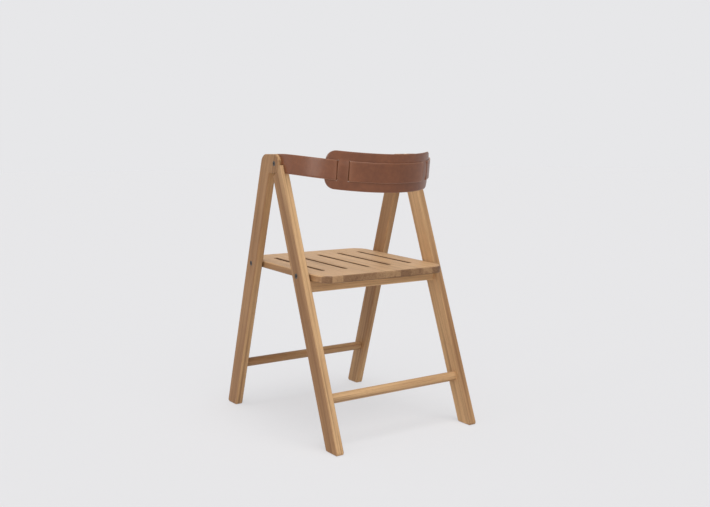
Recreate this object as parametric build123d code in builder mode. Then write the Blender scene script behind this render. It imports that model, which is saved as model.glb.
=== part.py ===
from build123d import *
import os
from math import cos, degrees, hypot, pi, radians, sin, sqrt, tan

# Folding armchair of solid wood with a leather band for a back, in millimetres
# +X is the sitter's left, -Y is where the sitter looks, +Z is up
# The origin is on the floor, in the middle of the four feet

# Frame
overall_width = 462.0
head_bolt_height = 722.5
leg_width = 51.0
leg_thickness = 22.0
front_leg_lean = 17.88
rear_leg_lean = 20.51
front_leg_setoff = 44.4
rear_leg_setoff = 6.8
foot_corner_round = 6.0
leg_edge_bevel = 2.0

# Lapped heads of the legs, with the band clamped between the two lamellae
lug_corner_round = 6.0
lap_clearance = 0.6
band_side_clearance = 0.3
rear_end_drop = 3.0
horn_drop = 4.0
fold_angle = 38.0

# Leather band
band_thickness = 3.4
band_height = 52.0
band_straight = 29.6
band_drop = 26.5
weave_run = 4.4
leather_gap = 0.3

# Leather back pad, with the band woven through its four slots
pad_thickness = 3.4
pad_height = 101.0
pad_length = 362.0
pad_shift = 20.0
pad_corner_round = 28.0
pad_inner_slot = 116.0
pad_outer_slot = 147.0
pad_slot_width = 7.0
pad_slot_margin = 1.5
pad_slot_corner_round = 1.5

# Seat
seat_side_gap = 4.0
seat_thickness = 18.5
seat_tilt = 1.9
seat_front_reach = 86.0
seat_rear_reach = 343.0
seat_corner_round = 45.0
seat_top_bevel = 2.5
seat_bottom_bevel = 1.2
seat_slot_count = 5
seat_slot_pitch = 73.0
seat_slot_width = 14.0
seat_slot_front = 12.0
seat_slot_rear = 253.0
seat_slot_bevel = 1.0
seat_pivot_height = 439.8
seat_pivot_depth = 8.0
seat_pivot_lead = 2.85

# Notches under the seat's sides that drop over the rest studs
stud_reach_back = 252.1
stud_diameter = 8.0
stud_reach_in = 12.0
notch_depth = 12.5
notch_clearance = 0.4
notch_flare = 36.0

# Bearer and stretchers
bearer_width = 24.0
bearer_height = 31.0
bearer_edge_round = 3.0
bearer_tenon_shoulder = 5.0
seat_rest_gap = 0.3
stretcher_diameter = 25.5
front_stretcher_height = 129.1
rear_stretcher_height = 126.3
tenon_length = 13.0
glue_clearance = 0.1

# Hardware
cap_diameter = 14.0
cap_thickness = 3.0
cap_recess = 0.5
cap_clearance = 0.4
drive_width = 5.0
drive_depth = 1.6
barrel_diameter = 8.0
seat_bolt_diameter = 7.0
seat_bore_depth = 24.0
bolt_end_gap = 1.0
spacer_diameter = 16.0
fit_clearance = 0.05
running_clearance = 0.08
face_clearance = 0.1
hole_clearance = 0.3
cut_overrun = 5.0

# Places across the chair
half_leg = leg_width / 2
leg_outer_x = overall_width / 2
leg_inner_x = leg_outer_x - leg_thickness
band_x = leg_outer_x - leg_thickness / 2
slot_half = band_thickness / 2 + band_side_clearance
slot_inner_x = band_x - slot_half
slot_outer_x = band_x + slot_half
cap_pocket = cap_thickness + cap_recess
pocket_floor_x = leg_outer_x - cap_pocket
seat_edge_x = leg_inner_x - seat_side_gap
tenon_end_x = leg_inner_x + tenon_length
pocket_radius = max(half_leg, band_height / 2) + lap_clearance

# Places seen from the side, where a lean is positive when the foot is behind
front_lean = radians(-front_leg_lean)
rear_lean = radians(rear_leg_lean)


def foot_reach(setoff, lean):
    """How far a foot's outer edge stands out from under the head bolt."""
    corner = (setoff + half_leg) / cos(lean) + head_bolt_height * tan(lean)
    return corner - foot_corner_round * (1 / tan((pi / 2 - lean) / 2) - 1)


front_reach = foot_reach(front_leg_setoff, -front_lean)
rear_reach = foot_reach(rear_leg_setoff, rear_lean)
head_bolt_y = (front_reach - rear_reach) / 2
head_bolt = (head_bolt_y, head_bolt_height)


def leg_line(offset, lean, z):
    """Y at a height of a line along a leg, at an offset behind the head bolt."""
    return head_bolt_y + offset / cos(lean) + (head_bolt_height - z) * tan(lean)


def front_centre(z):
    return leg_line(-front_leg_setoff, front_lean, z)


def rear_centre(z):
    return leg_line(rear_leg_setoff, rear_lean, z)


# Seat plane, with its zero on the seat's top above the seat bolts
tilt = radians(seat_tilt)
seat_back = Vector(0, cos(tilt), -sin(tilt))
seat_up = Vector(0, sin(tilt), cos(tilt))
seat_bolt_y = front_centre(seat_pivot_height) - seat_pivot_lead
seat_pivot = Vector(0, seat_bolt_y, seat_pivot_height)
seat_plane = Plane(
    origin=seat_pivot + seat_up * seat_pivot_depth, x_dir=(1, 0, 0), z_dir=seat_up
)
seat_axis = Axis(origin=seat_plane.origin, direction=seat_up)
stud = seat_pivot + seat_back * stud_reach_back

# Bearer, below the seat and on the rear legs' centre line
bearer_depth = seat_thickness - seat_pivot_depth + seat_rest_gap + bearer_height / 2
below_pivot = seat_pivot - seat_up * bearer_depth
bearer_run = (rear_centre(below_pivot.Z) - below_pivot.Y) / (
    cos(tilt) - sin(tilt) * tan(rear_lean)
)
bearer = below_pivot + seat_back * bearer_run

# Band seen from above, straight beside the heads and a half circle behind them
band_centre_y = head_bolt_y + band_straight
band_radius = band_x
pad_radius = band_radius - band_thickness / 2 - leather_gap - pad_thickness / 2
inner_radius = pad_radius - pad_thickness / 2 - leather_gap - band_thickness / 2
band_end_y = band_centre_y + band_radius + band_thickness
sag_radius = (band_radius**2 + band_drop**2) / (2 * band_drop)


def sag(y):
    """How far the leather's centre line lies below the head bolts."""
    return sag_radius - sqrt(sag_radius**2 - max(y - band_centre_y, 0) ** 2)


def bearing(run):
    """Direction from the band's centre, in degrees, a run along the pad from the middle."""
    return 90 - degrees(run / pad_radius)


def at(radius, angle):
    """Point seen from above on a circle about the band's centre."""
    return (radius * cos(radians(angle)), band_centre_y + radius * sin(radians(angle)))


pad_slots = [
    pad_shift + place
    for place in (-pad_outer_slot, -pad_inner_slot, pad_inner_slot, pad_outer_slot)
]
pad_ends = (pad_shift - pad_length / 2, pad_shift + pad_length / 2)


def across(y, z, x):
    """Plane square to X at a place on the side, facing the sitter's left."""
    return Plane(origin=(x, y, z), x_dir=(0, 1, 0), z_dir=(1, 0, 0))


def side_view(x):
    """Plane square to X in which Y and Z are drawn as they stand."""
    return Plane.YZ.offset(x)


def leg_bar(setoff, lean, end):
    """Side outline of a leg, cut flat on the floor and round at its upper end."""
    rise = (half_leg * cos(lean), half_leg * sin(lean))
    with BuildSketch() as bar:
        with BuildLine() as edge:
            Polyline(
                (leg_line(setoff - half_leg, lean, 0), 0),
                (leg_line(setoff + half_leg, lean, 0), 0),
                (end[0] + rise[0], end[1] + rise[1]),
                (end[0] - rise[0], end[1] - rise[1]),
                close=True,
            )
        make_face(edge.edges())
        fillet(bar.vertices().sort_by(Axis.Y)[:2], radius=foot_corner_round)
        with Locations(end):
            Circle(half_leg)
    return bar.sketch_local


def leather_side(height):
    """Side view of the leather, level at the heads and sinking towards the back."""
    front_y = head_bolt_y - band_height
    ends = []
    with BuildSketch() as view:
        with BuildLine() as edge:
            for half in (height / 2, -height / 2):
                z = head_bolt_height + half
                level = Line((front_y, z), (band_centre_y, z))
                dip = TangentArc(
                    level @ 1, (band_end_y, z - sag(band_end_y)), tangent=level % 1
                )
                ends.append((level @ 0, dip @ 1))
            Line(ends[0][0], ends[1][0])
            Line(ends[0][1], ends[1][1])
        make_face(edge.edges())
    return view.sketch_local


def ring_part(radius, thickness, first, last):
    """Part of a ring seen from above, between two directions."""
    outer, inner = radius + thickness / 2, radius - thickness / 2
    middle = (first + last) / 2
    with BuildSketch() as part:
        with BuildLine() as edge:
            ThreePointArc(at(outer, first), at(outer, middle), at(outer, last))
            Line(at(outer, last), at(inner, last))
            ThreePointArc(at(inner, last), at(inner, middle), at(inner, first))
            Line(at(inner, first), at(outer, first))
        make_face(edge.edges())
    return part.sketch_local


# Front leg, full thickness below the head, with a thin outer lug out to the bolt
front_end = (front_centre(head_bolt_height), head_bolt_height)
front_bar = leg_bar(-front_leg_setoff, front_lean, front_end)
lug_low = head_bolt_height - half_leg
lug_corner = (leg_line(half_leg - front_leg_setoff, front_lean, lug_low), lug_low)

with BuildPart() as left_front_leg:
    with BuildSketch(side_view(leg_inner_x)):
        add(front_bar)
    extrude(amount=leg_thickness)
    with BuildSketch(side_view(slot_outer_x)) as lug:
        add(front_bar)
        SlotCenterPoint(
            ((front_end[0] + head_bolt_y) / 2, head_bolt_height), head_bolt, leg_width
        )
        fillet(lug.vertices().sort_by_distance(lug_corner)[0], radius=lug_corner_round)
    extrude(amount=leg_outer_x - slot_outer_x)
    chamfer(left_front_leg.edges().group_by(Axis.X)[-1], length=leg_edge_bevel)
    chamfer(left_front_leg.edges().group_by(Axis.X)[0], length=leg_edge_bevel)
    with BuildSketch(across(*head_bolt, leg_inner_x)):
        Circle(pocket_radius)
    extrude(amount=slot_outer_x - leg_inner_x, mode=Mode.SUBTRACT)
    with BuildSketch(across(*head_bolt, slot_outer_x)):
        Circle(barrel_diameter / 2 + fit_clearance)
    extrude(amount=leg_outer_x - slot_outer_x, mode=Mode.SUBTRACT)
    with BuildSketch(across(seat_pivot.Y, seat_pivot.Z, leg_inner_x)):
        Circle(spacer_diameter / 2)
    extrude(amount=seat_rest_gap - seat_side_gap)
    with BuildSketch(across(seat_pivot.Y, seat_pivot.Z, seat_edge_x)):
        Circle(seat_bolt_diameter / 2 + fit_clearance)
    extrude(amount=leg_outer_x - seat_edge_x, mode=Mode.SUBTRACT)
    with BuildSketch(side_view(pocket_floor_x)):
        with Locations(head_bolt, (seat_pivot.Y, seat_pivot.Z)):
            Circle(cap_diameter / 2 + cap_clearance)
    extrude(amount=cap_pocket, mode=Mode.SUBTRACT)
    with BuildSketch(
        across(front_centre(front_stretcher_height), front_stretcher_height, leg_inner_x)
    ):
        Circle(stretcher_diameter / 2 + glue_clearance)
    extrude(amount=tenon_length + glue_clearance, mode=Mode.SUBTRACT)
left_front_leg.part.label = "left_front_leg"

# Rear leg, which keeps its inner lamella at the head and wraps round the lug outside
rear_end = (
    head_bolt_y + rear_leg_setoff * cos(rear_lean) + rear_end_drop * sin(rear_lean),
    head_bolt_height + rear_leg_setoff * sin(rear_lean) - rear_end_drop * cos(rear_lean),
)
rear_bar = leg_bar(rear_leg_setoff, rear_lean, rear_end)
band_low = head_bolt_height - band_height / 2 - lap_clearance

# Corner of its outer lamella that lies under the front leg's lug when folded
fold = radians(fold_angle)
lug_space = half_leg + lap_clearance
corner_run = rear_leg_setoff - half_leg - lug_space * sin(fold - rear_lean)
corner_run = corner_run / cos(fold - rear_lean)
lap_corner = (
    head_bolt_y + corner_run * cos(fold) + lug_space * sin(fold),
    head_bolt_height + corner_run * sin(fold) - lug_space * cos(fold),
)

with BuildPart() as left_rear_leg:
    with BuildSketch(side_view(leg_inner_x)):
        add(rear_bar)
        SlotCenterPoint(
            ((rear_end[0] + head_bolt_y) / 2, (rear_end[1] + head_bolt_height) / 2),
            head_bolt,
            leg_width,
        )
    extrude(amount=leg_thickness)
    chamfer(left_rear_leg.edges().group_by(Axis.X)[-1], length=leg_edge_bevel)
    chamfer(left_rear_leg.edges().group_by(Axis.X)[0], length=leg_edge_bevel)
    with BuildSketch(across(*head_bolt, slot_inner_x)):
        Circle(pocket_radius)
    extrude(amount=leg_outer_x - slot_inner_x + cut_overrun, mode=Mode.SUBTRACT)
    with BuildSketch(side_view(slot_inner_x)):
        with Locations((head_bolt_y, band_low)):
            Rectangle(leg_width, leg_width + band_height, align=(Align.MIN, Align.MIN))
    extrude(amount=slot_outer_x - slot_inner_x, mode=Mode.SUBTRACT)
    with BuildSketch(Plane.XY.offset(band_low)):
        add(ring_part(band_radius, 2 * slot_half, 0, degrees(leg_width / band_radius)))
    extrude(amount=leg_width + band_height, mode=Mode.SUBTRACT)
    with BuildSketch(side_view(slot_outer_x)) as lap:
        with Locations(head_bolt):
            Rectangle(
                2 * leg_width,
                2 * lug_space,
                rotation=fold_angle,
                align=(Align.MAX, Align.CENTER),
            )
        with Locations(lap_corner):
            Rectangle(
                leg_width, 2 * leg_width, rotation=rear_leg_lean, align=(Align.MAX, Align.CENTER)
            )
        corner = lap.vertices().sort_by_distance(lap_corner)[0]
        fillet(corner, radius=lug_corner_round + 2 * lap_clearance)
        with Locations((head_bolt_y, head_bolt_height - horn_drop)):
            Rectangle(2 * leg_width, leg_width, align=(Align.CENTER, Align.MIN))
    extrude(amount=leg_outer_x - slot_outer_x + cut_overrun, mode=Mode.SUBTRACT)
    with BuildSketch(across(*head_bolt, leg_inner_x)):
        Circle(barrel_diameter / 2 + running_clearance)
    extrude(amount=slot_inner_x - leg_inner_x, mode=Mode.SUBTRACT)
    with BuildSketch(across(*head_bolt, leg_inner_x)):
        Circle(cap_diameter / 2 + cap_clearance)
    extrude(amount=cap_pocket, mode=Mode.SUBTRACT)
    with BuildSketch(across(stud.Y, stud.Z, leg_inner_x)):
        Circle(stud_diameter / 2 + fit_clearance)
    extrude(amount=leg_thickness, mode=Mode.SUBTRACT)
    with BuildSketch(across(stud.Y, stud.Z, pocket_floor_x)):
        Circle(cap_diameter / 2 + cap_clearance)
    extrude(amount=cap_pocket, mode=Mode.SUBTRACT)
    with BuildSketch(
        across(rear_centre(rear_stretcher_height), rear_stretcher_height, leg_inner_x)
    ):
        Circle(stretcher_diameter / 2 + glue_clearance)
    extrude(amount=tenon_length + glue_clearance, mode=Mode.SUBTRACT)
    with BuildSketch(side_view(leg_inner_x)):
        with Locations((bearer.Y, bearer.Z)):
            Rectangle(
                bearer_width - 2 * (bearer_tenon_shoulder - glue_clearance),
                bearer_height - 2 * (bearer_tenon_shoulder - glue_clearance),
                rotation=-seat_tilt,
            )
    extrude(amount=tenon_length + glue_clearance, mode=Mode.SUBTRACT)
left_rear_leg.part.label = "left_rear_leg"

with BuildPart() as right_front_leg:
    mirror(left_front_leg.part, about=Plane.YZ)
right_front_leg.part.label = "right_front_leg"

with BuildPart() as right_rear_leg:
    mirror(left_rear_leg.part, about=Plane.YZ)
right_rear_leg.part.label = "right_rear_leg"

# Stretchers, plain rods whose ends are let into the legs
with BuildPart() as front_stretcher:
    with BuildSketch(
        across(front_centre(front_stretcher_height), front_stretcher_height, -tenon_end_x)
    ):
        Circle(stretcher_diameter / 2)
    extrude(amount=2 * tenon_end_x)
front_stretcher.part.label = "front_stretcher"

with BuildPart() as rear_stretcher:
    with BuildSketch(
        across(rear_centre(rear_stretcher_height), rear_stretcher_height, -tenon_end_x)
    ):
        Circle(stretcher_diameter / 2)
    extrude(amount=2 * tenon_end_x)
rear_stretcher.part.label = "rear_stretcher"

# Bearer, the rail between the rear legs that the seat comes down on
with BuildPart() as seat_bearer:
    with BuildSketch(side_view(-leg_inner_x)):
        with Locations((bearer.Y, bearer.Z)):
            RectangleRounded(
                bearer_width, bearer_height, bearer_edge_round, rotation=-seat_tilt
            )
    extrude(amount=2 * leg_inner_x)
    with BuildSketch(side_view(-tenon_end_x)):
        with Locations((bearer.Y, bearer.Z)):
            Rectangle(
                bearer_width - 2 * bearer_tenon_shoulder,
                bearer_height - 2 * bearer_tenon_shoulder,
                rotation=-seat_tilt,
            )
    extrude(amount=2 * tenon_end_x)
seat_bearer.part.label = "seat_bearer"

# Seat board, with long slots and a notch under each side for the stud
notch_radius = stud_diameter / 2 + notch_clearance
flare = radians(notch_flare)
flare_top = (stud.Y - notch_radius * cos(flare), stud.Z + notch_radius * sin(flare))
notch_low = stud.Z - seat_thickness
flare_run = (flare_top[1] - notch_low) * tan(flare)

with BuildPart() as seat_panel:
    with BuildSketch(seat_plane):
        with Locations((0, (seat_rear_reach - seat_front_reach) / 2)):
            RectangleRounded(
                2 * seat_edge_x, seat_front_reach + seat_rear_reach, seat_corner_round
            )
    extrude(amount=-seat_thickness)
    chamfer(seat_panel.faces().sort_by(seat_axis)[-1].edges(), length=seat_top_bevel)
    chamfer(seat_panel.faces().sort_by(seat_axis)[0].edges(), length=seat_bottom_bevel)
    with BuildSketch(seat_plane):
        with Locations((0, (seat_slot_rear - seat_slot_front) / 2)):
            with GridLocations(seat_slot_pitch, 0, seat_slot_count, 1):
                SlotOverall(seat_slot_front + seat_slot_rear, seat_slot_width, rotation=90)
    extrude(amount=-seat_thickness, mode=Mode.SUBTRACT)
    top = seat_panel.faces().sort_by(seat_axis)[-1]
    chamfer(top.inner_wires().edges(), length=seat_slot_bevel)
    for side in (-1, 1):
        with BuildSketch(across(seat_pivot.Y, seat_pivot.Z, side * seat_edge_x)):
            Circle(seat_bolt_diameter / 2 + running_clearance)
        extrude(amount=-side * seat_bore_depth, mode=Mode.SUBTRACT)
        with BuildSketch(side_view(side * seat_edge_x)):
            with Locations((stud.Y, stud.Z)):
                Circle(notch_radius)
            with BuildLine():
                Polyline(
                    (stud.Y + notch_radius, stud.Z),
                    (stud.Y + notch_radius, notch_low),
                    (flare_top[0] - flare_run, notch_low),
                    flare_top,
                    (stud.Y, stud.Z),
                    close=True,
                )
            make_face()
        extrude(amount=-side * notch_depth, mode=Mode.SUBTRACT)
seat_panel.part.label = "seat_panel"

# Band, one strap that lies outside the pad but passes inside it between each slot pair
steps = [bearing(run) for run in pad_slots]
half_step = degrees(weave_run / 2 / pad_radius)
stretches = [
    (band_radius, 180, steps[0] + half_step),
    (inner_radius, steps[0] - half_step, steps[1] + half_step),
    (band_radius, steps[1] - half_step, steps[2] + half_step),
    (inner_radius, steps[2] - half_step, steps[3] + half_step),
    (band_radius, steps[3] - half_step, 0),
]

with BuildPart() as back_strap:
    with BuildSketch(Plane.XY.offset(head_bolt_height - band_height)):
        for radius, first, last in stretches:
            add(ring_part(radius, band_thickness, first, last))
        for before, after in zip(stretches, stretches[1:]):
            start, end = Vector(*at(before[0], before[2])), Vector(*at(after[0], after[1]))
            SlotCenterPoint((start + end) / 2, end, band_thickness)
        for side in (-1, 1):
            with Locations((side * band_x, band_centre_y)):
                Rectangle(
                    band_thickness,
                    band_straight + band_height / 2,
                    align=(Align.CENTER, Align.MAX),
                )
    extrude(amount=2 * band_height)
    with BuildSketch(side_view(-leg_outer_x)):
        add(leather_side(band_height))
        with Locations(head_bolt):
            Rectangle(
                band_height, 2 * band_height, align=(Align.MAX, Align.CENTER), mode=Mode.SUBTRACT
            )
            Circle(band_height / 2)
            Circle(barrel_diameter / 2 + hole_clearance, mode=Mode.SUBTRACT)
    extrude(amount=overall_width, mode=Mode.INTERSECT)
back_strap.part.label = "back_strap"

# Pad, a wider panel that follows the band's curve
def pad_place(run, slope):
    """Plane lying on the pad, a run from the middle of the back, turned by a slope."""
    x, y = at(pad_radius, bearing(run))
    outward = Vector(x, y - band_centre_y, 0).normalized()
    return Plane(
        origin=(x, y, head_bolt_height - sag(y)),
        x_dir=(outward.Y, -outward.X, slope),
        z_dir=outward,
    )


with BuildPart() as back_pad:
    spare = pad_corner_round / 2
    with BuildSketch(Plane.XY.offset(head_bolt_height - pad_height)):
        first, last = bearing(pad_ends[0] - spare), bearing(pad_ends[1] + spare)
        add(ring_part(pad_radius, pad_thickness, first, last))
    extrude(amount=2 * pad_height)
    with BuildSketch(side_view(-leg_outer_x)):
        add(leather_side(pad_height))
    extrude(amount=overall_width, mode=Mode.INTERSECT)
    for end, inwards in ((pad_ends[0], 1), (pad_ends[1], -1)):
        run = end + inwards * pad_corner_round
        x, y = at(pad_radius, bearing(run))
        slope = (y - band_centre_y) / sag_radius * x / pad_radius
        outer_end = Align.MAX if inwards == 1 else Align.MIN
        inner_end = Align.MIN if inwards == 1 else Align.MAX
        with BuildSketch(pad_place(run, slope)):
            Rectangle(2 * pad_corner_round, 2 * pad_height, align=(outer_end, Align.CENTER))
            with Locations((-inwards * pad_corner_round, 0)):
                RectangleRounded(
                    4 * pad_corner_round,
                    pad_height / hypot(1, slope),
                    pad_corner_round,
                    align=(inner_end, Align.CENTER),
                    mode=Mode.SUBTRACT,
                )
        extrude(amount=2 * pad_thickness, both=True, mode=Mode.SUBTRACT)
    for run in pad_slots:
        with BuildSketch(pad_place(run, 0)):
            RectangleRounded(
                pad_slot_width, band_height + 2 * pad_slot_margin, pad_slot_corner_round
            )
        extrude(amount=pad_thickness, both=True, mode=Mode.SUBTRACT)
back_pad.part.label = "back_pad"


def capped_bolt(y, z, shank_diameter, end_x):
    """Bolt along X whose round cap lies in its pocket in the leg's outer face."""
    cap_x = pocket_floor_x
    with BuildPart() as bolt:
        with BuildSketch(across(y, z, cap_x)):
            Circle(cap_diameter / 2)
        extrude(amount=cap_thickness)
        with BuildSketch(across(y, z, cap_x + cap_thickness)):
            RegularPolygon(drive_width / 2, 6, major_radius=False)
        extrude(amount=-drive_depth, mode=Mode.SUBTRACT)
        with BuildSketch(across(y, z, end_x)):
            Circle(shank_diameter / 2)
        extrude(amount=cap_x - end_x)
    return bolt


# Head joint, a barrel through both lamellae with a cap outside and a flange inside
flange_out_x = leg_inner_x + cap_pocket - face_clearance
with BuildPart() as left_head_bolt:
    add(capped_bolt(*head_bolt, barrel_diameter, flange_out_x).part)
    with BuildSketch(across(*head_bolt, flange_out_x)):
        Circle(cap_diameter / 2)
    extrude(amount=-cap_thickness)
left_head_bolt.part.label = "left_head_bolt"

# Seat joint, a bolt through the leg and its spacer into the seat's edge
left_seat_bolt = capped_bolt(
    seat_pivot.Y,
    seat_pivot.Z,
    seat_bolt_diameter,
    seat_edge_x - seat_bore_depth + bolt_end_gap,
)
left_seat_bolt.part.label = "left_seat_bolt"

# Rest stud, a bolt through the rear leg whose end carries the seat
left_rest_stud = capped_bolt(stud.Y, stud.Z, stud_diameter, leg_inner_x - stud_reach_in)
left_rest_stud.part.label = "left_rest_stud"

# Right-hand fittings, as mirror images of the left ones
with BuildPart() as right_head_bolt:
    mirror(left_head_bolt.part, about=Plane.YZ)
right_head_bolt.part.label = "right_head_bolt"

with BuildPart() as right_seat_bolt:
    mirror(left_seat_bolt.part, about=Plane.YZ)
right_seat_bolt.part.label = "right_seat_bolt"

with BuildPart() as right_rest_stud:
    mirror(left_rest_stud.part, about=Plane.YZ)
right_rest_stud.part.label = "right_rest_stud"

# Lengths that the leather takes when it is cut flat
flat_band = 2 * (band_straight + band_height / 2) + pi * band_radius
print("flat band", round(flat_band, 1), "by", band_height, "by", band_thickness)
print("flat pad", pad_length, "by", pad_height, "by", pad_thickness)
print("head bolt", [round(value, 2) for value in head_bolt])
print("seat bolt", [round(value, 2) for value in (seat_pivot.Y, seat_pivot.Z)])
print("stud", [round(value, 2) for value in (stud.Y, stud.Z)])
print("bearer", [round(value, 2) for value in (bearer.Y, bearer.Z)])

os.makedirs("parts", exist_ok=True)
export_step(left_front_leg.part, "parts/left_front_leg.step")
export_step(right_front_leg.part, "parts/right_front_leg.step")
export_step(left_rear_leg.part, "parts/left_rear_leg.step")
export_step(right_rear_leg.part, "parts/right_rear_leg.step")
export_step(front_stretcher.part, "parts/front_stretcher.step")
export_step(rear_stretcher.part, "parts/rear_stretcher.step")
export_step(seat_bearer.part, "parts/seat_bearer.step")
export_step(seat_panel.part, "parts/seat_panel.step")
export_step(back_strap.part, "parts/back_strap.step")
export_step(back_pad.part, "parts/back_pad.step")
export_step(left_head_bolt.part, "parts/left_head_bolt.step")
export_step(right_head_bolt.part, "parts/right_head_bolt.step")
export_step(left_seat_bolt.part, "parts/left_seat_bolt.step")
export_step(right_seat_bolt.part, "parts/right_seat_bolt.step")
export_step(left_rest_stud.part, "parts/left_rest_stud.step")
export_step(right_rest_stud.part, "parts/right_rest_stud.step")
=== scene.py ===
# %% [markdown]
# # A folding chair of oiled wood with a leather band for a back
#
# The chair is packed as solids in metres: four legs, two rods, a rail, a slotted seat, four bolts,
# two studs, and a flat strap and panel of leather. This lesson gives the wood its grain, the steel
# its burnish and the leather its soft edges and its hide, and then lights the chair as a studio
# would.
#
# The solids load first and stay where they are. A material goes on the wooden and steel ones as
# they stand. Only the leather is modelled again, because leather bulges and rounds off where a
# solid can't.

import math

import bmesh
import bpy
from mathutils import Matrix, Vector, geometry


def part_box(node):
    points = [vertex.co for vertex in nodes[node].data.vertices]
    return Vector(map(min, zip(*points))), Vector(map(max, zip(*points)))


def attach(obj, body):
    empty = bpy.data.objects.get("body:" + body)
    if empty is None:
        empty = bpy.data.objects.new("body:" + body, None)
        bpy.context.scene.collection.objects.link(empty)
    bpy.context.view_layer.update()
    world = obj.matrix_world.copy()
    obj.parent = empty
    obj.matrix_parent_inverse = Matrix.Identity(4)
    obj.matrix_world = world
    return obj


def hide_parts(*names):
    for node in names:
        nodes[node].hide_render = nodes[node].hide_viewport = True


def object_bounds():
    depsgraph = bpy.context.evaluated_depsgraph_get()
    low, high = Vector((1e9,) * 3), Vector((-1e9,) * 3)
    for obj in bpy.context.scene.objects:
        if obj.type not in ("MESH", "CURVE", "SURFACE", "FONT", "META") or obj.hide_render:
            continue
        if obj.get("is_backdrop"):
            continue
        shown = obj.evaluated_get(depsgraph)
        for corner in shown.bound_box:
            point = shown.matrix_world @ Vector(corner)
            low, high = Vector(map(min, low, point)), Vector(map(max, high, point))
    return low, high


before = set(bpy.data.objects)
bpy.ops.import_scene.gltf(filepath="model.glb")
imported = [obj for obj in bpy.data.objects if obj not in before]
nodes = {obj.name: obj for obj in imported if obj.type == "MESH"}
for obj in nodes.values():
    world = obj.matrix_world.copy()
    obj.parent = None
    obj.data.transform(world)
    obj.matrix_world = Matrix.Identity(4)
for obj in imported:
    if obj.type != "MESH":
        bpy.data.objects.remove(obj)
solid_box = [list(corner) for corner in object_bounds()]


def brief(numbers):
    """Numbers rounded for printing."""
    return [round(number, 4) for number in numbers]


print("solids:", len(nodes), "box:", *map(brief, solid_box))

# %% [markdown]
# ## The camera
#
# The view is from behind the sitter's left shoulder, at the height of the head bolts. It could be
# aimed by hand. Here the three angles are written down instead, and the camera's axes are built
# from them, because that says plainly which way it looks: yaw about the upright axis, then pitch,
# then a trace of roll.


# %% Aim the camera
def aim(yaw, pitch, roll):
    """Camera axes from its heading, its tilt and its lean, as a rotation."""
    look = Vector(
        (math.sin(yaw) * math.cos(pitch), math.cos(yaw) * math.cos(pitch), math.sin(pitch))
    )
    right = look.cross(Vector((0, 0, 1))).normalized()
    up = right.cross(look)
    level = math.cos(roll) * right + math.sin(roll) * up
    upright = math.cos(roll) * up - math.sin(roll) * right
    return Matrix((level, upright, -look)).transposed()


camera_place = (1.36733, 2.05019, 0.74513)
camera_angles = (-2.542666, -0.113120, -0.0026668)

lens = bpy.data.cameras.new("camera")
lens.lens = 44.018
lens.sensor_width = 36.0
lens.clip_end = 100.0
camera = bpy.data.objects.new("camera", lens)
camera.matrix_world = Matrix.Translation(camera_place) @ aim(*camera_angles).to_4x4()
bpy.context.scene.collection.objects.link(camera)
bpy.context.scene.camera = camera
print("camera at", brief(camera.matrix_world.translation))

# %% [markdown]
# ## Sockets as sums
#
# A finish in Blender is a graph of small nodes. Wiring each sum by hand hides what it says, so one
# class wraps a socket and lets Python's own signs add the Math nodes: `1 - pores * 0.4` is two
# nodes and reads as what it does. Numbers alone stay in Python. Colours are mixed by a Mix node,
# never by a sum.


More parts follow.
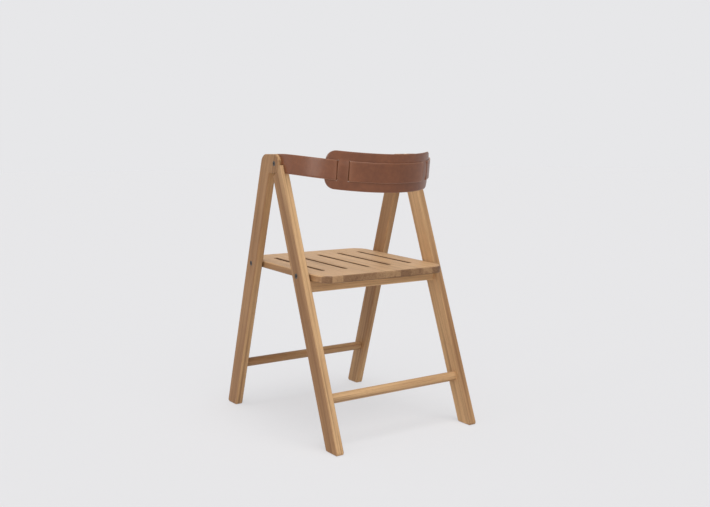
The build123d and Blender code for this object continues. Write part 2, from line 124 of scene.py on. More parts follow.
# %% A socket that can be added and multiplied
class Value:
    """A socket of a material's graph, with the signs that make new nodes from it."""

    def __init__(self, tree, socket):
        self.tree, self.socket = tree, socket

    def node(self, kind, settings=None, outlet=0, **inputs):
        """Adds a node with its settings, then its inputs, and gives one of its outlets.

        An input is named as Blender names it, with _ for a space, or by its number, as in _0.
        """
        made = self.tree.nodes.new(kind)
        for name, setting in (settings or {}).items():
            setattr(made, name, setting)
        for name, given in inputs.items():
            here = int(name[1:]) if name[1:].isdigit() else name.replace("_", " ")
            inlet = made.inputs[here]
            if isinstance(given, Value):
                self.tree.links.new(given.socket, inlet)
            elif inlet.type == "RGBA":
                inlet.default_value = (*given, 1)
            else:
                inlet.default_value = given
        return Value(self.tree, made.outputs[outlet])

    def sum(self, operation, first, second=0.0):
        """A Math node on two values."""
        return self.node("ShaderNodeMath", {"operation": operation}, _0=first, _1=second)

    def __add__(self, other):
        return self.sum("ADD", self, other)

    def __radd__(self, other):
        return self.sum("ADD", other, self)

    def __sub__(self, other):
        return self.sum("SUBTRACT", self, other)

    def __rsub__(self, other):
        return self.sum("SUBTRACT", other, self)

    def __mul__(self, other):
        return self.sum("MULTIPLY", self, other)

    def __pow__(self, other):
        return self.sum("POWER", self, other)

    def size(self):
        return self.sum("ABSOLUTE", self)

    def wave(self):
        return self.sum("SINE", self)

    def beyond(self, other):
        return self.sum("GREATER_THAN", self, other)

    def most(self, other):
        return self.sum("MAXIMUM", self, other)

    def least(self, other):
        return self.sum("MINIMUM", self, other)

    def ramp(self, low, high):
        """Runs from 0 to 1 as this value goes from low to high, with soft ends."""
        soft = {"interpolation_type": "SMOOTHSTEP"}
        return self.node("ShaderNodeMapRange", soft, _0=self, _1=low, _2=high, _3=0.0, _4=1.0)

    def parts(self):
        """The x, y and z of a vector."""
        split = self.node("ShaderNodeSeparateXYZ", _0=self).socket.node
        return [Value(self.tree, outlet) for outlet in split.outputs]

    def blend(self, first, second):
        """A colour between two colours, by this value."""
        colours = {"data_type": "RGBA", "clamp_factor": True}
        return self.node("ShaderNodeMix", colours, 2, _0=self, _6=first, _7=second)

    def noise(self, scale, detail=3.0, rough=0.5, **more):
        """Soft noise over this vector, 0 to 1."""
        more.update(Vector=self, Scale=scale, Detail=detail, Roughness=rough)
        return self.node("ShaderNodeTexNoise", **more)

    def stretched(self, turn=(0, 0, 0), scale=(1, 1, 1), place=(0, 0, 0)):
        """This vector turned, moved and stretched."""
        point = {"vector_type": "POINT"}
        inputs = {"Vector": self, "Location": place, "Rotation": turn, "Scale": scale}
        return self.node("ShaderNodeMapping", point, **inputs)

    def facing(self):
        """The way the surface faces, as x, y and z, in this value's graph."""
        return self.node("ShaderNodeTexCoord", outlet=1).parts()

    def bump(self, height_mm, strength=1.0, under=None):
        """A surface raised by this value, in millimetres, on top of the relief under it."""
        inputs = {"Strength": strength, "Distance": height_mm / 1000, "Height": self}
        if under:
            inputs["Normal"] = under
        return self.node("ShaderNodeBump", **inputs)


def finish(name):
    """A new material: its shader, and the place on the piece as the first value."""
    made = bpy.data.materials.new(name)
    made.use_nodes = True
    tree = made.node_tree
    shader = next(n for n in tree.nodes if n.type == "BSDF_PRINCIPLED")
    place = tree.nodes.new("ShaderNodeTexCoord")
    return made, shader, Value(tree, place.outputs["Object"])


def wire(shader, **sockets):
    """Links values to the shader's sockets, or sets plain numbers on them."""
    for name, given in sockets.items():
        inlet = shader.inputs[name.replace("_", " ")]
        if isinstance(given, Value):
            given.tree.links.new(given.socket, inlet)
        else:
            inlet.default_value = given


print("shader signs ready")

# %% [markdown]
# ## Oiled wood
#
# The frame is a warm, golden hardwood with an oil finish. Five things run along each board: broad
# bands where the growth rings leave it, dark stripes of heartwood, thin dark lines, fine pores a
# few millimetres long, and slow drifts from golden to brown. All of them are long in the board's
# direction and short across it. So the place on the piece is turned until one axis lies along the
# board, and that axis is squeezed before the noise is read. A board is cut from its own log, so
# each piece starts from another place in the noise and has a tone of its own. Faces that look
# sideways, along the piece's X, can take a tone of their own as well: painted light and shade that
# makes a leg's sides darker or lighter than its edges.
#
# A photograph of wood would be quicker. A formula has no edge, fits every board and shows no
# repeat.


# %% A board's grain
pale_wood = (0.7, 0.45, 0.235)
warm_wood = (0.53, 0.305, 0.145)
dark_wood = (0.275, 0.138, 0.058)
line_wood = (0.27, 0.135, 0.06)
heart_wood = (0.21, 0.102, 0.044)
pore_wood = (0.17, 0.082, 0.037)


def board(name, turn, seed, tone=0.5, painted_side_tone=None, tint=None):
    """Wood whose grain runs along Z once the place is turned; tones run from pale to dark."""
    made, shader, place = finish(name)
    along = place.stretched(turn=turn, place=(seed * 1.7, seed * 2.3, seed * 0.9))

    def grain(squeeze, scale, **more):
        return along.stretched(scale=(1, 1, squeeze)).noise(scale, **more)

    sway = along.stretched(scale=(6, 6, 1.4)).noise(1.0, detail=2.0).ramp(0.3, 0.7)
    broad = grain(0.06, 17.0, detail=2.0, Distortion=0.6).ramp(0.3, 0.72)
    ring = grain(0.045, 62.0, detail=4.0, rough=0.55, Distortion=0.35).ramp(0.36, 0.66)
    heart = grain(0.02, 105.0).ramp(0.53, 0.68)
    line = grain(0.011, 230.0, detail=2.0, rough=0.4).ramp(0.5, 0.66)
    streaks = grain(0.016, 420.0, rough=0.6)
    pore = grain(0.05, 1150.0, detail=2.0, rough=0.7).ramp(0.58, 0.72)

    drift = (sway * 0.4 + broad * 0.6) * 0.75 + (tone - 0.4)
    # Faces that look sideways get their own tone: painted light and shade on the legs' sides.
    if painted_side_tone is not None:
        sideways = place.facing()[0].size().ramp(0.55, 0.85)
        drift = drift + sideways * (painted_side_tone - tone)
    body = drift.ramp(0.0, 1.0).blend(pale_wood, dark_wood)
    body = (ring * 0.42).blend(body, warm_wood)
    body = (streaks.ramp(0.42, 0.75) * 0.36).blend(body, dark_wood)
    body = (line * 0.34).blend(body, line_wood)
    body = (heart * 0.62).blend(body, heart_wood)
    body = (pore * 0.42).blend(body, pore_wood)
    if tint:
        body = tint(place, body)
    rough = 0.52 - ring * 0.05 + pore * 0.2 + streaks.ramp(0.3, 0.8) * 0.06
    relief = (1 - pore * 0.8 + streaks * 0.35).bump(0.06, strength=0.55)
    wire(shader, Base_Color=body, Roughness=rough, Normal=relief, Specular_IOR_Level=0.3)
    return made


def dress(node, material):
    """Puts a material on a solid's own slots."""
    slots = nodes[node].material_slots
    for slot in slots:
        slot.material = material
    if not slots:
        nodes[node].data.materials.append(material)


print("woods, pale to dark:", pale_wood, warm_wood, dark_wood)

# %% [markdown]
# ## Legs and rails
#
# The grain of a leg runs up it, so its wood is turned by the leg's own lean. Rods and rails lie
# across the chair, and their wood is turned a quarter round. Each gets a seed and a tone, listed
# one by one. The tones are partly painted light: the legs on the sitter's left get lighter tones,
# which paint in the stronger light on that side, and each leg's sideways faces get a tone of their
# own, painted light and shade that makes them darker or lighter than its edges. The rail under the
# seat gets the palest tone, which partly paints in light where the seat shades it. One material for
# all would be less work, but then all seven boards would have the same grain at the same height.

# %% Dress the frame
upright_front, upright_rear = math.radians(17.88), math.radians(-20.51)
# Each leg: lean, seed, tone and sideways tone. The lighter left legs and the sideways tones are
# partly painted light and shade.
legs = {
    "left_front_leg": (upright_front, 3.1, 0.38, 1.05),
    "right_front_leg": (upright_front, 7.4, 0.5, 0.66),
    "left_rear_leg": (upright_rear, 11.9, 0.2, 0.88),
    "right_rear_leg": (upright_rear, 5.6, 0.6, 0.14),
}
for node, (lean, seed, tone, painted_side_tone) in legs.items():
    dress(node, board(node + "_wood", (lean, 0, 0), seed, tone, painted_side_tone))

across_chair = (0, math.pi / 2, 0)
rails = {
    "front_stretcher": (2.2, 0.62),
    "rear_stretcher": (8.8, 0.3),
    # The bearer's pale tone partly paints in light where the seat shades it.
    "seat_bearer": (14.3, 0.12),
}
for node, (seed, tone) in rails.items():
    dress(node, board(node + "_wood", across_chair, seed, tone))
print("boards:", len(legs) + len(rails))

# %% [markdown]
# ## The seat, glued from staves
#
# The seat isn't one wide board, which would cup. It is glued from staves that run front to back,
# and on the rear edge their end grain shows as blocks of different browns. The staves could be
# separate boxes, but the glue line can't be felt. So they are drawn: going across the chair, the
# tone takes a step at each glue line. The tones are listed, as the maker lays the staves out light
# and dark before gluing. Where the surface faces back or forwards, the end grain drinks the oil and
# darkens. The top is painted paler, as painted light from above. Painted shade darkens the walls
# of the long slots, the bevel round the underside, in the seat's own shadow, and the seat's
# sideways faces.


# %% Staves and end grain
first_tone = 0.9
glue_lines = [
    (-0.153, 0.3),
    (-0.120, 0.65),
    (-0.077, 0.95),
    (-0.043, 0.25),
    (0.007, 0.4),
    (0.043, 0.6),
    (0.090, 0.8),
    (0.143, 0.12),
    (0.175, 0.9),
]
# The top colour is painted light; the slot and bevel colours are painted shade.
top_light_wood = (0.63, 0.4, 0.222)
glue_wood = (0.16, 0.08, 0.04)
end_wood = (0.155, 0.074, 0.034)
slot_shade_wood = (0.12, 0.06, 0.031)
bevel_shade_wood = (0.08, 0.04, 0.02)


def staves(place, body):
    """Gives each stave its tone, a fine glue line and end grain at the ends; paints light on the
    top, and shade in the slots, under the bevel and on the sides.
    """
    x = place.parts()[0]
    tone, before, gap = first_tone, first_tone, 1.0
    for line, after in glue_lines:
        tone = x.beyond(line) * (after - before) + tone
        gap = (x - line).size().least(gap)
        before = after
    across, lengthwise, up = place.facing()
    outside = x.size().ramp(0.183, 0.193)
    # Masks for painted shade: the walls of the long slots and the seat's sideways faces.
    slot_shade = across.size().ramp(0.7, 0.9) * (1 - outside)
    side = across.size().ramp(0.78, 0.92) * outside
    end = lengthwise.size().ramp(0.3, 0.6) * (1 - side)
    # Mask for painted shade on the bevel under the seat's edge.
    bevel = (0 - up).ramp(0.3, 0.6) * up.ramp(-0.98, -0.9)
    grain = place.stretched(scale=(1, 0.2, 2.6)).noise(240.0).ramp(0.4, 0.7)
    burnt = 0.36 + tone * 0.5 + grain * 0.14
    # Painted light: the top is made paler, as light from above makes it.
    body = (up.ramp(0.5, 0.95) * (0.5 - tone * 0.12)).blend(body, top_light_wood)
    # Painted shade on the seat's sideways faces.
    body = (side * 0.7).blend(body, dark_wood)
    body = (end * burnt).blend(body, end_wood)
    # Painted shade on the under bevel, in the seat's own shadow.
    body = (bevel * 0.8).blend(body, bevel_shade_wood)
    # Painted shade on the walls of the long slots.
    body = (slot_shade * 0.8).blend(body, slot_shade_wood)
    glue = 1 - gap.ramp(0.0001, 0.0006)
    return (glue * 0.35).blend(body, glue_wood)


lengthwise_turn = (math.pi / 2, 0, 0)
dress("seat_panel", board("seat_wood", lengthwise_turn, 21.3, 0.12, tint=staves))
print("staves:", len(glue_lines) + 1)

# %% [markdown]
# ## Burnished bolt caps
#
# Each joint ends in a dark round cap, sunk in the wood. Burnished steel isn't black paint: it is a
# metal with a brown film, turned on a lathe, so fine rings circle its middle and the film thins at
# the rim. A painted ring would need a flat map on every cap. Here the rings come from the distance
# to the bolt's own axis, read from the solid's box, so one formula does for all of them.

# %% Turned steel
brown_film = (0.1, 0.09, 0.085)
bare_steel = (0.24, 0.215, 0.195)
radians_per_metre = 4200.0


def burnished(name, axis_y, axis_z):
    """Dark steel turned about a bolt's axis along X."""
    made, shader, place = finish(name)
    _, y, z = place.parts()
    reach = ((y - axis_y) ** 2.0 + (z - axis_z) ** 2.0) ** 0.5
    rings = (reach * radians_per_metre + place.noise(300.0) * 1.5).wave()
    cloud = place.noise(420.0, detail=4.0)
    worn = reach.ramp(0.0055, 0.007) * 0.35 + cloud.ramp(0.5, 0.8) * 0.25
    colour = worn.blend(brown_film, bare_steel)
    rough = 0.4 + cloud * 0.18 - worn * 0.12
    relief = (rings * 0.5 + cloud).bump(0.012, strength=0.5)
    wire(shader, Base_Color=colour, Metallic=0.9, Roughness=rough, Normal=relief)
    return made


for node in sorted(nodes):
    if node.endswith(("bolt", "stud")):
        low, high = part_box(node)
        middle = (low + high) / 2
        dress(node, burnished(node + "_steel", middle.y, middle.z))
        print(node, "axis at", brief((middle.y, middle.z)))

# %% [markdown]
# ## The path of the leather
#
# Seen from above, the strap runs straight beside the heads and in a half circle behind them, and
# its middle sinks a little. Leather bends but hardly stretches, so as the strap sinks, its height
# leans backwards with it, like a belt worn low at the back. The panel follows the same half circle
# just inside it. At four slits the strap dives through the panel: it lies outside it, but inside it
# behind the two narrow bridges, which stand out in their middle because the strap pushes them.
#
# A flat piece of leather is easiest to think of flat. So every point is given by its run along the
# leather, its height on it and its depth through it, and one function lays that point on the curve.
# Bending, sagging and diving then live in one place, and the outline is drawn as the cutter would
# draw it. The panel hangs a little to the sitter's left, so the strap's longer free end, on the
# right, is pulled straighter.

# %% Lay a flat point on the curve
head_z = 0.7225
centre_y = 0.03069
strap_radius = 0.2200
panel_radius = 0.2163
middle_sag = 0.0258
full_lean = math.radians(6.0)
pulled_in = 0.005


def smooth(share):
    """Runs from 0 to 1 with the share, with soft ends."""
    share = min(1.0, max(0.0, share))
    return share * share * (3 - 2 * share)


def eased(value, start, width):
    """Runs from 0 to 1 as the value crosses a width after a start."""
    return smooth((value - start) / width)


def lie(run, height, depth, radius):
    """Puts a point at a radius about the band's centre, a run along a reference radius."""
    quarter = math.pi / 2 * radius
    back = taut = 0.0
    if abs(run) > quarter:
        x = math.copysign(radius + depth, run)
        y = centre_y - (abs(run) - quarter)
    else:
        angle = math.pi / 2 - run / radius
        back = math.sin(angle)
        taut = eased(angle, 1.9, 0.7) * (1 - eased(angle, 2.72, 0.42))
        reach = radius + depth - pulled_in * taut
        x = reach * math.cos(angle)
        y = centre_y + reach * back
    lean = full_lean * (eased(back, 0.25, 0.5) + taut / 3)
    sunk = middle_sag * max(back, 0.0) ** 1.5
    return (x, y + height * math.sin(lean), head_z - sunk + height * math.cos(lean))


print("middle of the strap at", brief(lie(0.0, 0.0, 0.0, strap_radius)))

# %% [markdown]
# ## Through the slits
#
# The two pieces share their slits. Between the slits of a pair the strap steps inwards by the
# thickness of both, and the panel's narrow bridge bulges outwards over it. The step could be a
# sharp fold, but leather this thick takes a few millimetres to turn, so it is eased over a little
# more than a slit's width. The panel's ends slant a trace, as they do on the real chair.

# %% Dive and bulge
layer = 0.0037
slit_runs = [-0.1255, -0.0945, 0.1345, 0.1655]
slit_half = 0.0018
bridge_rise = 0.0025
panel_tilt = 0.03
stretch = strap_radius / panel_radius


def rise(height):
    """How far a bridge stands out at a height, most in its middle."""
    return bridge_rise * (1 - eased(abs(height), 0.012, 0.018))


def between(run, stretch):
    """0 outside the bridges and 1 on them, for a run at a reference stretch."""
    share = 0.0
    for slit, sign in zip(slit_runs, (1, -1, 1, -1)):
        share += sign * smooth((run - slit * stretch) / (2.2 * slit_half) + 0.5)
    return share


def on_strap(run, height, depth):
    dive = (2 * layer - rise(height)) * between(run, stretch)
    return lie(run, height, depth - dive, strap_radius)


def on_panel(run, height, depth):
    run -= panel_tilt * height
    return lie(run, height, depth + rise(height) * between(run, 1.0), panel_radius)


print("strap dives at", brief(slit * stretch for slit in slit_runs))

# %% [markdown]
# ## Cutting a piece of leather
#
# A cut piece is two faces and a rounded edge between them, round the outside and round each slit or
# hole. A solidify and a bevel modifier could do that, but a bevel stumbles where a slit comes near
# a bend. Here each outline is a rounded rectangle, which stays one when it is drawn smaller, so the
# edge is a few such outlines at different depths, joined by quads. The faces are filled with
# triangles over even columns of points, so that the bends stay round.


# %% Outlines
def outline(middle, half_run, half_height, corner, columns, inset=0.0):
    """Rounded rectangle in run and height, counter-clockwise, drawn smaller by an inset."""
    corner_now = corner - inset
    flat_run, flat_height = half_run - corner, half_height - corner
    along = [c for c in columns if abs(c - middle) < flat_run - 1e-5]
    rows = max(1, round(2 * flat_height / 0.004))
    right_edge, left_edge = middle + half_run - inset, middle - half_run + inset
    climb = [2 * flat_height * k / rows for k in range(1, rows)]
    sides = [
        [(c, half_height - inset) for c in reversed(along)],
        [(left_edge, flat_height - up) for up in climb],
        [(c, inset - half_height) for c in along],
        [(right_edge, up - flat_height) for up in climb],
    ]
    quarter = [(math.cos(math.pi * k / 16), math.sin(math.pi * k / 16)) for k in range(9)]
    points = []
    for (right, top), side in zip([(1, 1), (-1, 1), (-1, -1), (1, -1)], sides):
        for across, up in quarter if right * top > 0 else quarter[::-1]:
            run = middle + right * (flat_run + corner_now * across)
            points.append((run, top * (flat_height + corner_now * up)))
        points += side
    kept = [points[0]]
    for point in points[1:]:
        if math.dist(point, kept[-1]) > 1e-7 and math.dist(point, kept[0]) > 1e-7:
            kept.append(point)
    return kept


def depth_in(point, middle, half_run, half_height, corner):
    """Distance from a point to the rounded rectangle, positive inside it."""
    across = abs(point[0] - middle) - (half_run - corner)
    up = abs(point[1]) - (half_height - corner)
    outside = math.hypot(max(across, 0), max(up, 0)) + min(max(across, up), 0)
    return corner - outside


def clearance(point, border, holes):
    """Distance from a point to the nearest cut, positive on the leather."""
    return min([depth_in(point, *border)] + [-depth_in(point, *hole) for hole in holes])


print("points round a slit:", len(outline(0.0, slit_half, 0.0264, slit_half, [])))

# %% [markdown]
# The two faces share one plan, so they are filled once and used twice. Filling works on flat
# points, before anything is bent, and the edge's outlines then join the faces.

# %% The edge's steps and the flat plan
leather_thick = 0.0034
edge_round = 0.0010
edge_steps = [(0.0, 1.0), (0.10, 0.56), (0.40, 0.22), (1.0, 0.0)]


def edge_profile():
    """How far in and how deep each outline of an edge lies, from the outer face to the inner."""
    half = leather_thick / 2
    outer = [(inset * edge_round, half - drop * edge_round) for inset, drop in edge_steps[::-1]]
    return outer + [(inset, -depth) for inset, depth in outer[::-1]]


def flat_plan(shape, cuts, columns, rows):
    """The points and triangles of a flat face, and each outline point's number in it."""
    flat, links = [], []
    for loops, _ in cuts:
        first, count = len(flat), len(loops[0])
        flat += loops[0]
        links += [(first + k, first + (k + 1) % count) for k in range(count)]
    for run in columns:
        for height in rows:
            if clearance((run, height), *shape) > edge_round + 0.0011:
                flat.append((run, height))
    filled = geometry.delaunay_2d_cdt([Vector(p) for p in flat], links, [], 0, 1e-7)
    places, triangles, source = filled[0], filled[2], filled[3]
    number = {old: new for new, olds in enumerate(source) for old in olds}
    faces = []
    for face in triangles:
        spot = sum((places[k] for k in face), Vector((0, 0))) / len(face)
        if clearance(spot, *shape) > edge_round * 0.98:
            faces.append(tuple(face))
    return places, faces, number


print("edge profile in mm:", [brief((a * 1000, b * 1000)) for a, b in edge_profile()])

# %% [markdown]
# Each cut is one loop of points, so the piece closes by counting alone. The number of open edges is
# printed, and has to be 0. Two numbers are kept at each point for the finish: how far it is from a
# cut edge, and how much the leather is stretched there.


# %% Join them into one closed piece
def skin(cuts, places, faces, number):
    """The points of both faces and of the edges between them, and the polygons on them."""
    points, polygons = [], []

    def add(spot, depth):
        points.append((spot[0], spot[1], depth))
        return len(points) - 1

    half = leather_thick / 2
    outer = [add(spot, half) for spot in places]
    inner = [add(spot, -half) for spot in places]
    polygons += [tuple(outer[k] for k in face) for face in faces]
    polygons += [tuple(inner[k] for k in face[::-1]) for face in faces]
    first = 0
    for loops, sign in cuts:
        count = len(loops[0])
        rim = [number[first + k] for k in range(count)]
        rings = [[outer[k] for k in rim]]
        for (_, depth), loop in list(zip(edge_profile(), loops))[1:-1]:
            rings.append([add(spot, depth) for spot in loop])
        rings.append([inner[k] for k in rim])
        for above, below in zip(rings, rings[1:]):
            for k in range(count):
                n = (k + 1) % count
                quad = (above[k], below[k], below[n], above[n])
                polygons.append(quad if sign > 0 else quad[::-1])
        first += count
    return points, polygons


def seal(mesh):
    """Turns every face outwards; gives the number of open edges, and the volume."""
    loose = bmesh.new()
    loose.from_mesh(mesh)
    bmesh.ops.delete(loose, geom=[v for v in loose.verts if not v.link_faces], context="VERTS")
    bmesh.ops.recalc_face_normals(loose, faces=loose.faces)
    open_edges = sum(1 for e in loose.edges if len(e.link_faces) != 2)
    loose.to_mesh(mesh)
    volume = loose.calc_volume(signed=True)
    loose.free()
    mesh.polygons.foreach_set("use_smooth", [True] * len(mesh.polygons))
    return open_edges, volume


def cut_leather(name, border, holes, columns, rows, lay, strain):
    """A closed piece of leather: border and holes are (middle, half run, half height, corner)."""
    cuts = []
    for part, sign in [(border, 1)] + [(hole, -1) for hole in holes]:
        cuts.append(([outline(*part, columns, sign * inset) for inset, _ in edge_profile()], sign))
    points, polygons = skin(cuts, *flat_plan((border, holes), cuts, columns, rows))
    mesh = bpy.data.meshes.new(name)
    mesh.from_pydata([lay(*point) for point in points], [], polygons)
    to_edge = mesh.attributes.new("to_edge", "FLOAT", "POINT")
    pull = mesh.attributes.new("pull", "FLOAT", "POINT")
    for k, (run, height, _) in enumerate(points):
        to_edge.data[k].value = max(0.0, clearance((run, height), border, holes)) * 1000
        pull.data[k].value = strain(run, height)
    mesh.validate()
    open_edges, volume = seal(mesh)
    piece = bpy.data.objects.new(name, mesh)
    bpy.context.scene.collection.objects.link(piece)
    print(name, len(mesh.polygons), "faces, open edges", open_edges)
    print("volume in cubic centimetres", round(volume * 1e6, 1))
    return piece


def even(first, last, step):
    """Numbers from first to last, about a step apart."""
    count = max(1, round((last - first) / step))
    return [first + (last - first) * k / count for k in range(count + 1)]


print("columns over 20 mm:", brief(even(0.0, 0.02, 0.004)))

# %% [markdown]
# ## The strap
#
# The strap is cut with round ends about its bolts, which clamp it inside the lapped heads. It is
# one long rounded rectangle with a bolt hole at each end. Where it dives, its columns of points
# stand closer, because evenly fine columns would cost many more faces for the same bends.

# %% Cut the strap
straight_run = 0.0296
strap_half_height = 0.026
strap_corner = 0.0259
bolt_hole = (0.0043, 0.0043, 0.00429)
strap_half_run = math.pi / 2 * strap_radius + straight_run + strap_half_height
bolt_run = strap_half_run - strap_half_height

strap_columns = {round(c, 6) for c in even(-strap_half_run, strap_half_run, 0.005)}
for slit in slit_runs:
    place = slit * strap_radius / panel_radius
    strap_columns = {c for c in strap_columns if abs(c - place) > 0.0065}
    strap_columns |= {round(c, 6) for c in even(place - 0.006, place + 0.006, 0.0006)}


def strap_pull(run, height):
    """How much the strap is stretched, most at the slits."""
    reach = min(abs(run - slit * strap_radius / panel_radius) for slit in slit_runs)
    return math.exp(-((reach / 0.009) ** 2))


strap = cut_leather(
    "leather_strap",
    (0.0, strap_half_run, strap_half_height, strap_corner),
    [(side * bolt_run, *bolt_hole) for side in (-1, 1)],
    sorted(strap_columns),
    even(-0.024, 0.024, 0.004),
    on_strap,
    strap_pull,
)
print("strap, flat, in mm:", brief((strap_half_run * 2000, strap_half_height * 2000)))

# %% [markdown]
# ## The panel
#
# The panel has large round corners and four slits. It could hang as a child of the strap. Instead
# both ride on the front legs' body, since the bolts hold them there, and each stands for the stiff
# solid of its own, which is hidden.

# %% Cut the panel and hang both
panel_border = (0.0185, 0.1795, 0.0500, 0.028)
slit_half_height = 0.0264
slit_steps = [side * step / 1e4 for step in (0, 7, 14, 22, 28, 36, 44, 62) for side in (-1, 1)]

panel_columns = {round(c, 6) for c in even(-0.161, 0.198, 0.004)}
for slit in slit_runs:
    panel_columns = {c for c in panel_columns if abs(c - slit) > 0.0052}
    panel_columns |= {slit + step for step in slit_steps}


def panel_pull(run, height):
    """How much the panel is stretched, most beside the slits and not beyond their ends."""
    reach = min(abs(run - slit) for slit in slit_runs)
    return 0.8 * math.exp(-((reach / 0.008) ** 2)) * (1 - eased(abs(height), 0.026, 0.006))


panel = cut_leather(
    "leather_panel",
    panel_border,
    [(slit, slit_half, slit_half_height, slit_half) for slit in slit_runs],
    sorted(panel_columns),
    even(-0.048, 0.048, 0.004),
    on_panel,
    panel_pull,
)
for piece, node in ((strap, "back_strap"), (panel, "back_pad")):
    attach(piece, "front_frame")
    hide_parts(node)
    low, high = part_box(node)
    mine = [Vector(corner) for corner in piece.bound_box]
    print(node, "solid from", brief(low), "to", brief(high))
    print(piece.name, "from", brief(min(c[k] for c in mine) for k in range(3)))

# %% [markdown]
# ## Saddle leather
#
# The hide is thick, smooth and reddish brown, with a waxed top. Close up it has a net of fine
# wrinkles between pebbles about a millimetre across, drawn here by the borders of Voronoi cells.
# The wrinkles are painted darker too: partly the hide's own darker creases, partly painted shade
# in them. Over a hand's width it drifts in tone, and it turns paler where it is pulled round the
# slits, as waxed leather does. The cut edges are rubbed smooth, so they are shinier than the face,
# and they are painted lighter: partly the hide's paler inside, partly a painted highlight along the
# edge. The wax is a clear coat over the hide. A lower roughness alone would shine too, but it would
# lose the dull hide beneath.

# %% Hide
light_hide = (0.235, 0.08, 0.031)
deep_hide = (0.165, 0.052, 0.02)
dark_hide = (0.10, 0.038, 0.02)
pulled_hide = (0.34, 0.155, 0.085)
# The crease colour is partly painted shade; the cut-edge colour is partly a painted highlight.
crease_tone_and_shade = (0.085, 0.034, 0.017)
edge_tone_and_highlight = (0.36, 0.18, 0.105)


def hide(name, seed, dark, rim):
    """Waxed leather: dark deepens it all over, and the last number is how far the cut edges are
    painted lighter, as a painted highlight on the paler cut hide.
    """
    made, shader, place = finish(name)
    here = place.stretched(place=(seed, seed * 1.6, seed * 0.4))
    edge = place.node("ShaderNodeAttribute", {"attribute_name": "to_edge"}, outlet=2)
    pull = place.node("ShaderNodeAttribute", {"attribute_name": "pull"}, outlet=2)
    cloud = here.noise(14.0).ramp(0.3, 0.7)
    mottle = here.noise(95.0, detail=4.0, rough=0.6)
    bent = here.noise(480.0, detail=2.0)
    to_border = {"feature": "DISTANCE_TO_EDGE"}
    wrinkle = here.node("ShaderNodeTexVoronoi", to_border, Vector=here, Scale=900.0).ramp(0.0, 0.14)
    scuff = here.stretched(scale=(1, 1, 5)).noise(60.0, detail=5.0, rough=0.7).ramp(0.6, 0.8)
    rubbed_and_lit_edge = 1 - edge.ramp(0.5, 1.9)
    body = (cloud * 0.6 + mottle.ramp(0.3, 0.7) * 0.4).blend(light_hide, deep_hide)
    body = (dark + mottle * 0.12).blend(body, dark_hide)
    body = (pull * 0.3 + scuff * 0.12).blend(body, pulled_hide)
    # Darker wrinkles: partly the hide's own creases, partly painted shade.
    body = ((1 - wrinkle) * 0.3).blend(body, crease_tone_and_shade)
    # Lighter cut edges: partly the paler cut hide, partly a painted highlight.
    body = (rubbed_and_lit_edge * rim).blend(body, edge_tone_and_highlight)
    rough = 0.5 + mottle * 0.1 - scuff * 0.05 - rubbed_and_lit_edge * 0.08
    relief = (wrinkle * 0.7 + bent * 0.5).bump(0.05, strength=0.5)
    relief = (mottle + cloud).bump(0.25, strength=0.3, under=relief)
    wire(shader, Base_Color=body, Roughness=rough, Normal=relief, Specular_IOR_Level=0.1)
    wire(shader, Coat_Weight=0.7, Coat_Roughness=0.34)
    return made


strap.data.materials.append(hide("strap_hide", 2.4, 0.0, 0.6))
panel.data.materials.append(hide("panel_hide", 6.1, 0.05, 0.35))
print("hides:", strap.data.materials[0].name, panel.data.materials[0].name)

# %% [markdown]
# ## The light
#
# A soft lamp hangs almost straight above the chair, so the seat's faint shadow lies between the
# feet. A wide one behind the chair lights the backs of the legs, and a narrow one low on the
# sitter's left gives the leather its sheen. The sky is a little brighter on that side than on the
# other, as in a room with its window there. Area lamps could do the same, but their light falls off
# with distance, so the far legs would be darker than the near ones.

# %% Lamps and sky
lamps = {
    "key_light": ((0.0, 0.2, 0.98), 1.2, 36),
    "back_light": ((0.25, 0.8, 0.5), 0.9, 70),
    "side_light": ((0.99, 0.06, 0.05), 0.75, 15),
}
lamp_colour = (1.0, 0.985, 0.965)
sky_level = 0.40
sky_tilt = 0.5
backdrop = (0.799, 0.799, 0.814)


def looked_at(tree):
    """1 for the rays that see the background: from the camera, metal, gloss or glass."""
    rays = tree.nodes.new("ShaderNodeLightPath").outputs
    seen = Value(tree, rays["Is Camera Ray"]).most(Value(tree, rays["Is Glossy Ray"]))
    return seen.most(Value(tree, rays["Is Transmission Ray"]))


for name, (towards, level, spread) in lamps.items():
    lamp = bpy.data.lights.new(name, "SUN")
    lamp.energy, lamp.angle, lamp.color = level, math.radians(spread), lamp_colour
    lamp = bpy.data.objects.new(name, lamp)
    lamp.rotation_euler = Vector(towards).normalized().to_track_quat("Z", "Y").to_euler()
    bpy.context.scene.collection.objects.link(lamp)

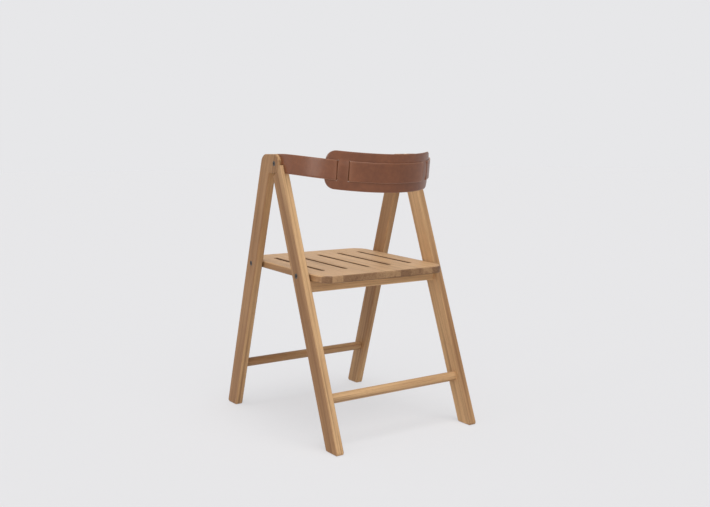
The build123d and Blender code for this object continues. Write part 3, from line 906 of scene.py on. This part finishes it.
world = bpy.data.worlds.new("sky")
world.use_nodes = True
bpy.context.scene.world = world
tree = world.node_tree
direction = Value(tree, tree.nodes.new("ShaderNodeTexCoord").outputs["Generated"]).parts()[0]
dim, bright = [sky_level * (1 + side * sky_tilt) for side in (-1, 1)]
light = (direction * 0.5 + 0.5).blend((dim, dim, dim * 1.02), (bright, bright, bright * 1.02))
sky = looked_at(tree).blend(light, backdrop)
tree.links.new(sky.socket, tree.nodes["Background"].inputs["Color"])
print("lamps:", *lamps, "sky from", brief((dim, bright)))

# %% [markdown]
# ## The floor
#
# The chair stands on a plain pale sweep that runs into the background without a line. A curved
# paper sweep would hide that line, but its bend shows in other views. A level floor has no bend. It
# is seen partly as painted and partly as a steady glow, which keeps a soft shadow and makes the far
# floor meet the sky in one tone. Only the camera, metal and glass see that glow. Every other ray
# meets plain paint, so it puts no light on the chair.

# %% Floor
paint = 0.76
glow_share = 0.62
floor_half = 40
falling = sum(level * Vector(towards).normalized().z for towards, level, _ in lamps.values())
floor_light = sky_level + falling / math.pi
glow = [(tone - (1 - glow_share) * paint * floor_light) / glow_share for tone in backdrop]

corners = [(x * floor_half, y * floor_half, 0) for x, y in ((-1, -1), (1, -1), (1, 1), (-1, 1))]
mesh = bpy.data.meshes.new("floor")
mesh.from_pydata(corners, [], [(0, 1, 2, 3)])
floor = bpy.data.objects.new("floor", mesh)
floor.location.z = -0.0004
bpy.context.scene.collection.objects.link(floor)
floor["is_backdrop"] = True

made, shader, place = finish("floor_paint")
tree = made.node_tree
wire(shader, Base_Color=(paint, paint, paint, 1), Roughness=1.0, Specular_IOR_Level=0.0)
lit = place.node("ShaderNodeEmission", Color=glow)
mixed = place.node("ShaderNodeMixShader", _0=looked_at(tree) * glow_share, _2=lit).socket
tree.links.new(shader.outputs[0], mixed.node.inputs[1])
out = next(n for n in tree.nodes if n.type == "OUTPUT_MATERIAL")
tree.links.new(mixed, out.inputs["Surface"])
floor.data.materials.append(made)
print("floor light", round(floor_light, 3), "glow", brief(glow))

# %% [markdown]
# ## Measure and finish
#
# The view transform stays plain, so that a colour shows as it is written. The box of the dressed
# chair is kept beside the box of the solids, because the dressed one has to stay inside it.

# %% Sizes and the end
bpy.context.scene.view_settings.view_transform = "Standard"
dressed_box = [list(corner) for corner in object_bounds()]
print("dressed box:", *map(brief, dressed_box))
